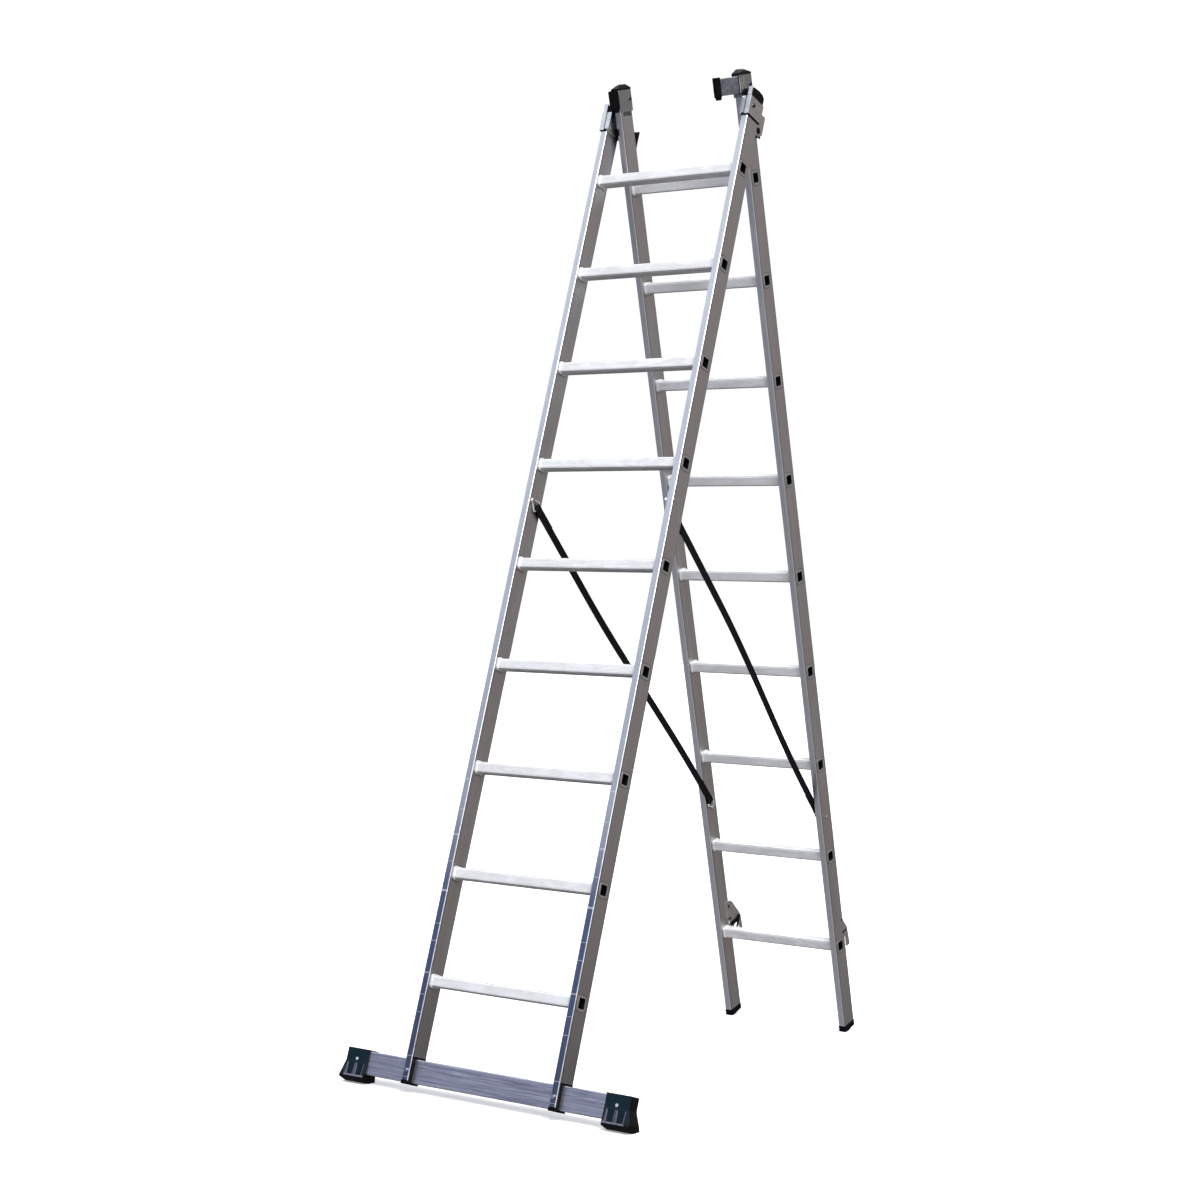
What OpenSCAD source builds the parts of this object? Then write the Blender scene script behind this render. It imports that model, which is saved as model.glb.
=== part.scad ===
// Two-section combination extension ladder, standing as an A-frame.
// The base section carries a stabiliser traverse and guide brackets; the fly section
// leans on it from behind, and folds and slides in those brackets.
// +X is to the right of a climber on the base section, -Y is the climber's side, +Z is up.
// The origin is on the ground, at the centre of the footprint.
// Each section is drawn in its own frame: X across, Y the depth behind its front face,
// and Z the distance along the stiles, counted from where the front face meets the ground.

/* [Stance] */
// Lean of the base section from the vertical, in degrees
base_lean = 16.66; // [16:0.01:17]
// Lean of the fly section from the vertical, in degrees
fly_lean = 15.85; // [15.5:0.01:16.2]
// Distance on the ground between the two sections' front faces
spread = 1530; // [1525:1:1535]

/* [Stiles] */
// Overall width of the base section
base_width = 476; // [474:1:480]
// Overall width of the fly section
fly_width = 412; // [410:1:413]
// Width of a stile, across the ladder
stile_t = 20; // [20:1:21]
// Depth of a stile, front to back
stile_d = 58; // [57:1:59]
// Wall of the stile section
stile_wall = 2; // [1.6:0.1:2.4]
// Outer corner radius of the stile section
stile_r = 2.5; // [1.5:0.5:3]
// Distance along the base stiles to their top end
base_top = 2732; // [2720:1:2740]
// Distance along the fly stiles to their top end
fly_top = 2780; // [2770:1:2785]
// Height of the fly feet below the aluminium
fly_foot_h = 18; // [14:1:22]

/* [Rungs] */
// Number of rungs in each section
rung_count = 9; // [5:1:9]
// Distance between rungs
rung_pitch = 280; // [260:1:280]
// Distance along the base stiles to the first rung
base_rung_1 = 292; // [285:1:300]
// Distance along the fly stiles to the first rung
fly_rung_1 = 264; // [258:1:270]
// Depth of the rung centres behind the front face
rung_y = 27; // [26:1:28]
// Outer size of the square rung tube
rung_w = 30; // [28:1:30]
// Outer corner radius of the rung tube
rung_r = 6; // [4:1:8]
// Wall of the rung tube
rung_wall = 1.8; // [1.4:0.2:2]
// Grooves on the tread and on the front of a rung
groove_count = 6; // [3:1:8]

/* [Traverse] */
// Height of the traverse profile
traverse_h = 60; // [56:1:60]
// Depth of the traverse profile
traverse_d = 28; // [24:1:28]
// Distance from the middle to the end of the traverse profile
traverse_half = 432; // [420:1:440]
// Depth of the space in front of the traverse, which the legs and plugs fill
leg_d = 16; // [14:1:17]
// Distance along the stile to the end of a leg
leg_end = 38; // [36:1:42]
// Distance along the stile to the notch above the traverse
notch_end = 98; // [97:1:102]

/* [Traverse feet] */
// Distance from the middle to the inner end of a foot
foot_in = 367; // [360:1:370]
// Distance from the middle to the outer end of a foot's socket
foot_out = 437; // [436:1:442]
// Distance from the middle to the outer end of a foot's sole
sole_out = 446; // [442:1:450]

/* [Guide brackets] */
// Height of the bracket band
band_h = 53; // [45:1:60]
// Sheet thickness of the brackets
sheet = 2.5; // [2:0.1:2.6]
// Thickness of the plastic liner under the band
liner_t = 1.5; // [1:0.1:1.6]
// Distance along the base stile to the axis that the fly folds on
pivot_z = 2683; // [2681:1:2685]
// Depth of that axis behind the base section's front face
pivot_y = 100; // [98:1:101]
// Radius of the swivel boss
boss_r = 9; // [7:0.5:10]
// Radial running clearance of the bosses and latch pins
run_gap = 0.06; // [0.03:0.01:0.1]

/* [Straps] */
// Width of the safety straps
strap_w = 25; // [20:1:30]
// Thickness of the safety straps
strap_t = 2; // [1.5:0.5:3]
// Wire radius of the strap rings
wire_r = 2; // [1.5:0.25:2.5]

/* [Hidden] */
$fn = 48;
fit = 0.1;          // clearance between fixed pieces
plug_gap = 0.6;     // clearance of the plugs inside the tubes
eps = 0.01;

base_out = base_width / 2;
base_in = base_out - stile_t;
fly_out = fly_width / 2;
fly_in = fly_out - stile_t;

tread_z = [for (i = [0 : rung_count - 1]) i * rung_pitch];
rung_rim_t = 0.8;
rung_rim_w = 38;
rung_collar_t = 3;
rung_collar_w = 36;

traverse_y = leg_d + 1;
traverse_z = 32.5;
traverse_mid_z = traverse_z + traverse_h / 2;
traverse_bolt_x = base_out - stile_t / 2;
traverse_bolt_r = 3.2;
foot_rivet_x = (foot_in + foot_out) / 2;
foot_rivet_z = 69;
rivet_r = 2;
plug_d = 30;
tongue_z = traverse_z - 4.5;
leg_wall = stile_wall + 0.6;

sole_front = 37;
sole_back = 62;
function ground_z(y) = y * tan(base_lean);

band_z = base_top - band_h + 1;
band_top = band_z + band_h;
outer_plate_x = base_out + liner_t;
fly_gap_x = base_in - 6.4;            // inner surface of the band beside the fly stile
back_wall_y = 119.5;                  // front surface of the band behind the fly stile
seam_x = 226.5;
seam_half = 1.3;
return_x = fly_in + 10;
lip_h = 27;
guide_bolt_y = 15;
guide_bolt_z = 2711;
guide_bolt_r = 3;

shoe_t = 2.2;
shoe_x = fly_gap_x - liner_t - 0.5 - shoe_t;
ear_r = 16;

arm_angle = 34.5;
arm_h = 46;
arm_w = 24;
arm_len = 62;
arm_z = fly_top - 48.5;
sleeve_z = fly_top - 59;
top_bolt_y = 51;
top_bolt_z = fly_top - 26;

foot_chamfer = 2;

hook_t = 3;
hook_rivet_y = 51;
hook_rivet_z = [298, 337];
latch_t = 2;
latch_gap = 1.4;
latch_y = 98;
latch_z = 284;
latch_pin_r = 3;

// Strap ends, as [depth, distance along the stile] in each section's own frame
base_anchor = [9, 1585];
fly_anchor = [33, 662];
ring_len = 27;
ring_half = 16;
eye_r = 7;
anchor_r = 3;
base_ring_x = base_in - 5.2;
fly_ring_x = fly_in - 5.2;

// A point [y, z] of a section's frame, in the ladder's frame before it is centred
function base_yz(p) = [
    p[0] * cos(base_lean) + p[1] * sin(base_lean),
    p[1] * cos(base_lean) - p[0] * sin(base_lean)];
function fly_yz(p) = [
    spread + p[0] * cos(fly_lean) - p[1] * sin(fly_lean),
    p[1] * cos(fly_lean) + p[0] * sin(fly_lean)];
function fly_local(q) = [
    (q[0] - spread) * cos(fly_lean) + q[1] * sin(fly_lean),
    q[1] * cos(fly_lean) - (q[0] - spread) * sin(fly_lean)];

front_y = base_yz([0, tongue_z])[0];
back_y = fly_yz([stile_d, foot_chamfer])[0];
mid_y = (front_y + back_y) / 2;
pivot = base_yz([pivot_y, pivot_z]);
fly_pivot = fly_local(pivot);

strap_start = base_yz(base_anchor);
strap_end = fly_yz(fly_anchor);
strap_rise = strap_end[1] - strap_start[1];
strap_run = strap_end[0] - strap_start[0];
strap_angle = atan2(strap_rise, strap_run);
base_strap_angle = strap_angle + base_lean;
fly_strap_angle = strap_angle - fly_lean;

silver = "#b9bcc4";
bright = "#dfe2e6";
black = "#1b2226";
zinc = "#8d9091";

// ---------------------------------------------------------------- frames and shapes

module on_base() {
    translate([0, -mid_y, 0]) rotate([-base_lean, 0, 0]) children();
}

module on_fly() {
    translate([0, spread - mid_y, 0]) rotate([fly_lean, 0, 0]) children();
}

module left() {
    mirror([1, 0, 0]) children();
}

module both() {
    children();
    left() children();
}

// Rectangle with round corners, centred
module rrect(w, h, r) {
    square([w - 2 * r, h], center = true);
    square([w, h - 2 * r], center = true);
    for (x = [-1, 1], y = [-1, 1])
        translate([x * (w / 2 - r), y * (h / 2 - r)]) circle(r);
}

// Box from its lowest to its highest corner
module box(lo, hi) {
    translate(lo) cube(hi - lo);
}

// Extrude a shape drawn in Y and Z along X, from x0 to x1
module along_x(x0, x1) {
    translate([x0, 0, 0]) rotate([90, 0, 90]) linear_extrude(x1 - x0) children();
}

// Round bar along X
module rod_x(x0, x1, r, y, z) {
    translate([x0, y, z]) rotate([0, 90, 0]) cylinder(h = x1 - x0, r = r);
}

// Round bar along Y
module rod_y(y0, y1, r, x, z) {
    translate([x, y0, z]) rotate([-90, 0, 0]) cylinder(h = y1 - y0, r = r);
}

// ---------------------------------------------------------------- stiles and rungs

module stile_tube(x_in, z0, z1) {
    translate([x_in + stile_t / 2, stile_d / 2, z0])
        linear_extrude(z1 - z0) difference() {
            rrect(stile_t, stile_d, stile_r);
            rrect(stile_t - 2 * stile_wall, stile_d - 2 * stile_wall, stile_r - 1);
        }
}

module rung_holes(x_in, z1) {
    for (z = tread_z)
        translate([0, rung_y, z + z1])
            along_x(x_in - 1, x_in + stile_t + 1)
                rrect(rung_w + 2 * fit, rung_w + 2 * fit, rung_r + fit);
}

module base_stile() {
    color(silver) on_base() difference() {
        stile_tube(base_in, leg_end, base_top);
        rung_holes(base_in, base_rung_1);
        box([base_in - 1, leg_wall, 0], [base_out + 1, stile_d + 1, notch_end]);
        rod_y(-1, leg_d, traverse_bolt_r + fit, traverse_bolt_x, traverse_mid_z);
        rod_x(base_in - 1, base_out + 1, guide_bolt_r + fit, guide_bolt_y, guide_bolt_z);
        rod_x(base_in - 1, base_out + 1, anchor_r + fit, base_anchor[0], base_anchor[1]);
    }
}

module fly_stile() {
    color(silver) on_fly() difference() {
        stile_tube(fly_in, fly_foot_h, fly_top);
        rung_holes(fly_in, fly_rung_1);
        rod_x(fly_in - 1, fly_out + 1, guide_bolt_r + fit, top_bolt_y, top_bolt_z);
        rod_x(fly_in - 1, fly_out + 1, anchor_r + fit, fly_anchor[0], fly_anchor[1]);
        for (z = hook_rivet_z)
            rod_x(fly_in - 1, fly_out + 1, anchor_r + fit, hook_rivet_y, z);
        top_slot();
    }
}

// Long slot in the inner wall of a fly stile, just under the top bracket
module top_slot() {
    slot_z = sleeve_z - 7;
    slot_r = 6;
    slot_y0 = 17;
    slot_y1 = 46;
    for (y = [slot_y0, slot_y1])
        rod_x(fly_in - 1, fly_in + stile_wall + 1, slot_r, y, slot_z);
    box([fly_in - 1, slot_y0, slot_z - slot_r],
        [fly_in + stile_wall + 1, slot_y1, slot_z + slot_r]);
}

// Square rung tube with fine grooves on its tread and front
module rung_profile() {
    groove_w = 1;
    groove_depth = 0.5;
    span = rung_w - 2 * rung_r;
    step = span / (groove_count - 1);
    difference() {
        rrect(rung_w, rung_w, rung_r);
        for (i = [0 : groove_count - 1]) {
            offs = -span / 2 + i * step;
            translate([offs, rung_w / 2]) square([groove_w, 2 * groove_depth], center = true);
            translate([-rung_w / 2, offs]) square([2 * groove_depth, groove_w], center = true);
        }
    }
}

module rung(half, x_in, z) {
    bore = rung_w - 2 * rung_wall;
    rim_x = half - rung_rim_t;
    color(bright) translate([0, rung_y, z]) difference() {
        union() {
            along_x(-half, half) rung_profile();
            both() {
                along_x(rim_x, half) rrect(rung_rim_w, rung_rim_w, rung_r + 4);
                along_x(x_in - rung_collar_t, x_in)
                    rrect(rung_collar_w, rung_collar_w, rung_r + 3);
            }
        }
        along_x(-half - 1, half + 1) rrect(bore, bore, rung_r - rung_wall);
    }
}

module base_rung(i) {
    on_base() rung(base_out + rung_rim_t, base_in, base_rung_1 + tread_z[i - 1]);
}

module fly_rung(i) {
    on_fly() rung(fly_out + rung_rim_t, fly_in, fly_rung_1 + tread_z[i - 1]);
}

// ---------------------------------------------------------------- traverse

module traverse() {
    color(silver) on_base() difference() {
        translate([0, traverse_y + traverse_d / 2, traverse_mid_z])
            along_x(-traverse_half, traverse_half) difference() {
                rrect(traverse_d, traverse_h, 3);
                rrect(traverse_d - 2 * stile_wall, traverse_h - 2 * stile_wall, 1.5);
            }
        both() {
            rod_y(0, traverse_y + traverse_d + 1, traverse_bolt_r + fit,
                traverse_bolt_x, traverse_mid_z);
            rod_y(0, traverse_y + 5, rivet_r + fit, foot_rivet_x, foot_rivet_z);
        }
    }
}

// Carriage bolts that hold the legs to the traverse
module traverse_bolts() {
    head_h = 3;
    nut_h = 5;
    back = traverse_y + traverse_d;
    color(zinc) on_base() both() translate([traverse_bolt_x, 0, traverse_mid_z]) {
        rod_y(-head_h, 0, 5.5, 0, 0);
        rod_y(-head_h - 1.2, -head_h + eps, 3.6, 0, 0);
        rod_y(0, back + nut_h + 2, traverse_bolt_r, 0, 0);
        rod_y(back, back + 1, 7, 0, 0);
        translate([0, back + 1, 0]) rotate([-90, 0, 0]) cylinder(h = nut_h, r = 6, $fn = 6);
    }
}

module foot_rivets() {
    color(bright) on_base() both() translate([foot_rivet_x, 0, foot_rivet_z]) {
        rod_y(11, 12.5, 4, 0, 0);
        rod_y(12.5, traverse_y + 4, rivet_r, 0, 0);
    }
}

// Black insert in the end of a base stile: it backs the leg, lines the notch and
// carries a tongue under the traverse
module stile_plug() {
    x0 = base_in + stile_wall + plug_gap;
    x1 = base_out - stile_wall - plug_gap;
    y0 = stile_wall + plug_gap;
    color(black) on_base() difference() {
        union() {
            box([base_in, 0, tongue_z], [base_out, traverse_y + 29, traverse_z - fit]);
            box([base_in, 0, tongue_z], [base_out, traverse_y - fit, leg_end - fit]);
            box([base_in, leg_wall + fit, tongue_z],
                [base_out, traverse_y - fit, notch_end - fit]);
            box([base_in, leg_wall + fit, traverse_z + traverse_h + fit],
                [base_out, stile_d, notch_end - fit]);
            box([x0, y0, notch_end - 2], [x1, stile_d - y0, notch_end + plug_d]);
        }
        rod_y(-1, traverse_y + 1, traverse_bolt_r + fit, traverse_bolt_x, traverse_mid_z);
    }
}

// Ribbed end foot of the traverse, with its sole level on the ground
module traverse_foot() {
    wall_y = 12.5;
    back_y0 = 48.5;
    top_z = traverse_z + traverse_h + 3;
    skirt_z = 62;
    rib_z = 27;
    lip_y = 7;
    rib_w = 6;
    inner = foot_in + 2;
    pocket_w = (foot_out - foot_in - 3 * rib_w - 6) / 2;
    sole = [[sole_front, ground_z(sole_front)], [sole_back, ground_z(sole_back)]];
    color(black) on_base() difference() {
        union() {
            box([foot_in, wall_y, skirt_z - 2], [foot_out, back_y0, top_z]);
            hull() {
                box([foot_in, wall_y, skirt_z - 2], [foot_out, back_y0, skirt_z]);
                along_x(inner, sole_out)
                    polygon([[wall_y, 29], [lip_y, 24], [lip_y + 0.5, 18.5], sole[0], sole[1],
                        [back_y0 + 8, 30]]);
            }
        }
        box([foot_in - 1, traverse_y - fit, traverse_z - fit],
            [traverse_half + fit, traverse_y + traverse_d + fit, traverse_z + traverse_h + fit]);
        for (i = [0, 1])
            translate([inner + rib_w + 2 + i * (pocket_w + rib_w), 0, 0])
                box([0, lip_y - 3, rib_z + 2], [pocket_w, wall_y + 0.5, skirt_z - 4]);
        rod_y(0, traverse_y + 1, rivet_r + fit, foot_rivet_x, foot_rivet_z);
    }
}

// ---------------------------------------------------------------- guide brackets

// Plan of the band that runs round the outside of the base stile and behind the fly stile
module band_plan() {
    x1 = outer_plate_x;
    y0 = -liner_t;
    y1 = stile_d + liner_t;
    gap = fly_gap_x;
    front_x = seam_x + seam_half;
    translate([front_x, y0 - sheet]) square([x1 + sheet - front_x, sheet]);
    translate([x1, y0 - sheet]) square([sheet, y1 + 2 * sheet - y0]);
    translate([gap, y1]) square([x1 + sheet - gap, sheet]);
    translate([gap, y1]) square([sheet, back_wall_y + sheet - y1]);
    translate([return_x, back_wall_y]) square([gap + sheet - return_x, sheet]);
}

module pivot_ear(x0, x1, r) {
    rod_x(x0, x1, r, pivot_y, pivot_z);
}

module pivot_hole() {
    rod_x(fly_out, base_in, boss_r + run_gap, pivot_y, pivot_z);
}

module guide_bracket() {
    color(zinc) on_base() difference() {
        union() {
            translate([0, 0, band_z]) linear_extrude(band_h) band_plan();
            box([seam_x + seam_half + 1.3, -liner_t - sheet, band_top - 1],
                [outer_plate_x + 1, -liner_t, band_top + lip_h]);
            pivot_ear(fly_gap_x, fly_gap_x + sheet, ear_r);
        }
        pivot_hole();
        rod_x(base_out, base_out + 10, guide_bolt_r + fit, guide_bolt_y, guide_bolt_z);
    }
}

// Plate on the inner face of the base stile, with a front flange up to the seam
module guide_plate() {
    plate_x = base_in - sheet;
    color(zinc) on_base() difference() {
        union() {
            box([plate_x, -liner_t - sheet, band_z], [base_in, 44, band_top]);
            box([plate_x - 4, -liner_t - sheet, band_z + 3],
                [seam_x - seam_half, -liner_t, band_top]);
        }
        rod_x(base_in - 10, base_in + 1, guide_bolt_r + fit, guide_bolt_y, guide_bolt_z);
        box([base_in - 1, -liner_t, band_z - 1], [base_in + 1, 50, band_z]);
    }
}

// Black liner under the band: it shows in the seam and below the band's lower edge
module guide_liner() {
    x1 = outer_plate_x;
    y1 = stile_d + liner_t;
    gap = fly_gap_x;
    skirt = 3;
    tail = 12;
    tail_y = 95;
    ear_rim = 3;
    inner_gap = gap - liner_t;
    color(black) on_base() difference() {
        union() {
            box([base_in, -liner_t, band_z - skirt], [x1, 0, band_top]);
            box([base_out, -liner_t, band_z - skirt], [x1, y1, band_top]);
            box([inner_gap, stile_d, band_z - skirt], [x1, y1, band_top]);
            box([inner_gap, stile_d, band_z - skirt], [gap, back_wall_y, band_top]);
            box([inner_gap, tail_y, band_z - tail], [gap, back_wall_y, band_top]);
            box([return_x, back_wall_y - liner_t, band_z - 2], [gap, back_wall_y, band_top]);
            pivot_ear(inner_gap, gap, ear_r + ear_rim);
        }
        pivot_hole();
        rod_x(base_out - 1, base_out + 10, guide_bolt_r + fit, guide_bolt_y, guide_bolt_z);
    }
}

// Black cap that closes a base stile and shoulders up beside the fly
module base_top_cap() {
    inner_x = base_in - 8;
    plug_bottom = base_top - 40;
    inset = stile_wall + plug_gap;
    low = band_top + fit;
    color(black) on_base() difference() {
        union() {
            along_x(base_in, base_out + 1)
                polygon([[-1.4, low], [-1.4, base_top + 24], [6, base_top + 29],
                    [32, base_top + 32], [53, base_top + 30], [62, base_top + 23],
                    [61.5, low]]);
            along_x(inner_x, base_in + 1)
                polygon([[-1.4, low], [-1.4, base_top + 24], [6, base_top + 27],
                    [34, base_top + 27], [44, base_top + 18], [44, low]]);
            box([base_in + inset, inset, plug_bottom],
                [base_out - inset, stile_d - inset, low + 1]);
        }
        rod_x(base_in - 1, base_out + 1, guide_bolt_r + fit, guide_bolt_y, guide_bolt_z);
    }
}

module guide_bolts() {
    x0 = base_in - sheet;
    x1 = outer_plate_x + sheet;
    color(zinc) on_base() both() translate([0, guide_bolt_y, guide_bolt_z]) {
        rod_x(x0 - 2.2, x1, guide_bolt_r, 0, 0);
        rod_x(x1, x1 + 2.6, 5.5, 0, 0);
        rod_x(x1 + 2.5, x1 + 3.4, 3.6, 0, 0);
        translate([x0 - 2, 0, 0]) rotate([0, 90, 0]) cylinder(h = 2, r = 6, $fn = 6);
    }
}

// Plastic shoe beside the fly stile: its boss turns in the bracket, and its lips hold
// the stile's outer edges, so the fly folds with the shoe and slides through it
module swivel_shoe() {
    lip = 3;
    py = fly_pivot[0];
    pz = fly_pivot[1];
    front = -lip - 0.4;
    back = stile_d + 0.4 + lip;
    front_lip = [pz + 31, pz + 49];
    back_lip = [pz - 16, pz + 30];
    color(black) on_fly() {
        along_x(shoe_x, shoe_x + shoe_t) {
            polygon([[front, front_lip[1]], [front, front_lip[0]], [30, back_lip[0]],
                [back, back_lip[0]], [back, back_lip[1]], [20, front_lip[1]]]);
            translate([py, pz]) circle(boss_r + 2);
        }
        rod_x(shoe_x + shoe_t - eps, fly_gap_x + sheet + 1, boss_r, py, pz);
        box([fly_out - 5, front, front_lip[0]], [shoe_x + shoe_t, front + lip, front_lip[1]]);
        box([fly_out - 5, back - lip, back_lip[0]], [shoe_x + shoe_t, back, back_lip[1]]);
    }
}

// ---------------------------------------------------------------- fly section ends

// Plug foot: flat under its front edge, where it meets the ground
module fly_foot() {
    land = 10;
    inset = stile_wall + plug_gap;
    color(black) on_fly() {
        along_x(fly_in, fly_out)
            polygon([[0, 0], [land, -land * tan(fly_lean)], [stile_d - foot_chamfer, 0],
                [stile_d, foot_chamfer],
                [stile_d, fly_foot_h - fit], [0, fly_foot_h - fit]]);
        box([fly_in + inset, inset, fly_foot_h - 1],
            [fly_out - inset, stile_d - inset, fly_foot_h + 40]);
    }
}

// Sheet sleeve round the top of a fly stile, with a box arm that reaches forward and inward
module top_bracket() {
    x0 = fly_in - sheet;
    x1 = fly_out + sheet;
    color(zinc) on_fly() difference() {
        union() {
            box([x0, -sheet, sleeve_z], [x1, 0, fly_top]);
            for (x = [x0, fly_out])
                box([x, -sheet, sleeve_z], [x + sheet, stile_d + 2, fly_top]);
            intersection() {
                along_arm(0, arm_len) rrect(arm_w, arm_h, 2);
                box([0, -200, arm_z - 10], [x1, -sheet + eps, fly_top + 10]);
            }
        }
        along_arm(-30, arm_len + 1) rrect(arm_w - 2 * sheet, arm_h - 2 * sheet, 1);
        rod_x(x0 - 1, x1 + 1, guide_bolt_r + fit, top_bolt_y, top_bolt_z);
        box([fly_in, 0, sleeve_z - 1], [fly_out, stile_d + 3, fly_top + 1]);
    }
}

// Extrude a shape along the arm's own axis
module along_arm(a0, a1) {
    translate([fly_out - 1, 0, arm_z + arm_h / 2]) rotate([0, 0, 90 - arm_angle])
        rotate([90, 0, -90]) translate([0, 0, a0]) linear_extrude(a1 - a0) children();
}

module arm_cap() {
    cap_w = 27;
    cap_h = 53;
    color(black) on_fly() {
        along_arm(arm_len + fit, arm_len + 11) rrect(cap_w, cap_h, 2.5);
        along_arm(arm_len - 20, arm_len + 1)
            rrect(arm_w - 2 * sheet - 2 * fit, arm_h - 2 * sheet - 2 * fit, 1);
        along_arm(arm_len + 0.5, arm_len + 9)
            translate([0, -cap_h / 2 - 3]) square([cap_w - 6, 8], center = true);
    }
}

// Glossy domed end cap of a fly stile
module fly_top_cap() {
    x0 = fly_in - sheet;
    x1 = fly_out + sheet;
    x_mid = (x0 + x1) / 2;
    inset = stile_wall + plug_gap;
    color(black) on_fly() {
        hull() {
            box([x0, -sheet, fly_top + fit], [x1, stile_d + 3, fly_top + 5]);
            for (y = [16, 42])
                translate([x_mid - 5, y, fly_top + 10]) sphere(r = 6, $fn = 32);
            for (y = [22, 34])
                translate([x_mid + 6, y, fly_top + 8]) sphere(r = 6, $fn = 32);
        }
        box([fly_in + inset, inset, fly_top - 12],
            [fly_out - inset, stile_d - inset, fly_top + 1]);
    }
}

module top_bolts() {
    x0 = fly_in - sheet;
    x1 = fly_out + sheet;
    color(zinc) on_fly() both() translate([0, top_bolt_y, top_bolt_z]) {
        rod_x(x0 - 3, x1 + 3, guide_bolt_r, 0, 0);
        rod_x(x1, x1 + 2.6, 5, 0, 0);
        rod_x(x0 - 2.6, x0, 5, 0, 0);
    }
}

// ---------------------------------------------------------------- hooks at the fly's foot

// Hook plate on the inner face of a fly stile, with a mouth that drops over a rung
module hook_plate() {
    color(zinc) on_fly() difference() {
        along_x(fly_in - hook_t, fly_in) difference() {
            polygon([[41, 354], [66, 350], [76, 341], [112, 289], [117, 232], [98, 232],
                [98, 256], [66, 256], [66, 236], [49, 236], [49, 292], [41, 302]]);
            translate([82, 256]) circle(16);
        }
        for (z = hook_rivet_z)
            rod_x(fly_in - 10, fly_in + 1, anchor_r + fit, hook_rivet_y, z);
        rod_x(fly_in - 10, fly_in + 1, latch_pin_r + run_gap, latch_y, latch_z);
    }
}

// Sprung latch that closes the mouth of the hook
module hook_latch() {
    x1 = fly_in - hook_t - latch_gap;
    x0 = x1 - latch_t;
    tip = [58, 279];
    tongue = [71, 246];
    color(black) on_fly() difference() {
        along_x(x0, x1) {
            translate([latch_y, latch_z]) circle(8);
            bar([latch_y, latch_z], tip, 4.5);
            bar([latch_y, latch_z], tongue, 4);
            translate(tip) circle(5.5);
            translate(tongue) circle(5);
        }
        rod_x(x0 - 1, x1 + 1, latch_pin_r + run_gap, latch_y, latch_z);
    }
}

// Flat bar between two points
module bar(a, b, r) {
    d = b - a;
    translate(a) rotate(atan2(d[1], d[0])) translate([0, -r]) square([norm(d), 2 * r]);
}

// Flat bar from one point to a round end at another
module link(a, b, r) {
    bar(a, b, r);
    translate(b) circle(r);
}

module hook_rivets() {
    latch_x = fly_in - hook_t - latch_gap - latch_t;
    color(zinc) on_fly() both() {
        for (z = hook_rivet_z) {
            rod_x(fly_in - hook_t - 1.2, fly_out + 1.2, anchor_r, hook_rivet_y, z);
            rod_x(fly_out, fly_out + 1.2, 4.5, hook_rivet_y, z);
            rod_x(fly_in - hook_t - 1.2, fly_in - hook_t, 5, hook_rivet_y, z);
        }
        rod_x(latch_x - 1.8, fly_in + 1.5, latch_pin_r, latch_y, latch_z);
        rod_x(fly_in, fly_in + 1.5, 5, latch_y, latch_z);
        rod_x(latch_x - 1.8, latch_x - 0.4, 5, latch_y, latch_z);
    }
}

// ---------------------------------------------------------------- safety straps

// Triangle of wire that carries a strap end on its rivet; the angle is the strap's
module strap_ring(x, anchor, angle) {
    corners = [[ring_len, -ring_half], [ring_len, ring_half]];
    color(bright) translate([0, anchor[0], anchor[1]]) rotate([angle, 0, 0])
        along_x(x - wire_r, x + wire_r) difference() {
            union() {
                circle(eye_r);
                link([0, 0], corners[0], wire_r);
                link([0, 0], corners[1], wire_r);
                link(corners[0], corners[1], wire_r);
            }
            circle(anchor_r + fit);
        }
}

module base_strap_ring() {
    on_base() strap_ring(base_ring_x, base_anchor, base_strap_angle);
}

module fly_strap_ring() {
    on_fly() strap_ring(fly_ring_x, fly_anchor, fly_strap_angle + 180);
}

module anchor_rivet(x_ring, x_out, anchor) {
    head = 1.2;
    wall = x_out - stile_t;
    color(zinc) translate([0, anchor[0], anchor[1]]) {
        rod_x(x_ring - 3.6, x_out + head, anchor_r, 0, 0);
        rod_x(x_ring - 3.6, x_ring - 2.4, 6, 0, 0);
        rod_x(x_ring + 2.4, wall, 4.5, 0, 0);
        rod_x(x_out, x_out + head, 5, 0, 0);
    }
}

// Flat webbing strap between the two rings of one side
module strap() {
    gap = ring_len + wire_r + 1;
    ca = cos(strap_angle);
    sa = sin(strap_angle);
    p0 = [base_ring_x, strap_start[0] + gap * ca, strap_start[1] + gap * sa];
    p1 = [fly_ring_x, strap_end[0] - gap * ca, strap_end[1] - gap * sa];
    color(black) translate([0, -mid_y, 0]) hull() for (p = [p0, p1])
        translate(p) rotate([strap_angle, 0, 0]) cube([strap_t, 0.2, strap_w], center = true);
}

// ---------------------------------------------------------------- the ladder

left() base_stile();  // base_stile_left
base_stile();  // base_stile_right
base_rung(1);  // base_rung_1
base_rung(2);  // base_rung_2
base_rung(3);  // base_rung_3
base_rung(4);  // base_rung_4
base_rung(5);  // base_rung_5
base_rung(6);  // base_rung_6
base_rung(7);  // base_rung_7
base_rung(8);  // base_rung_8
base_rung(9);  // base_rung_9
traverse();
left() traverse_foot();  // traverse_foot_left
traverse_foot();  // traverse_foot_right
traverse_bolts();
foot_rivets();
left() stile_plug();  // stile_plug_left
stile_plug();  // stile_plug_right
left() guide_bracket();  // guide_bracket_left
guide_bracket();  // guide_bracket_right
left() guide_plate();  // guide_plate_left
guide_plate();  // guide_plate_right
left() guide_liner();  // guide_liner_left
guide_liner();  // guide_liner_right
left() base_top_cap();  // base_top_cap_left
base_top_cap();  // base_top_cap_right
guide_bolts();
left() base_strap_ring();  // base_strap_ring_left
base_strap_ring();  // base_strap_ring_right
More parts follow.
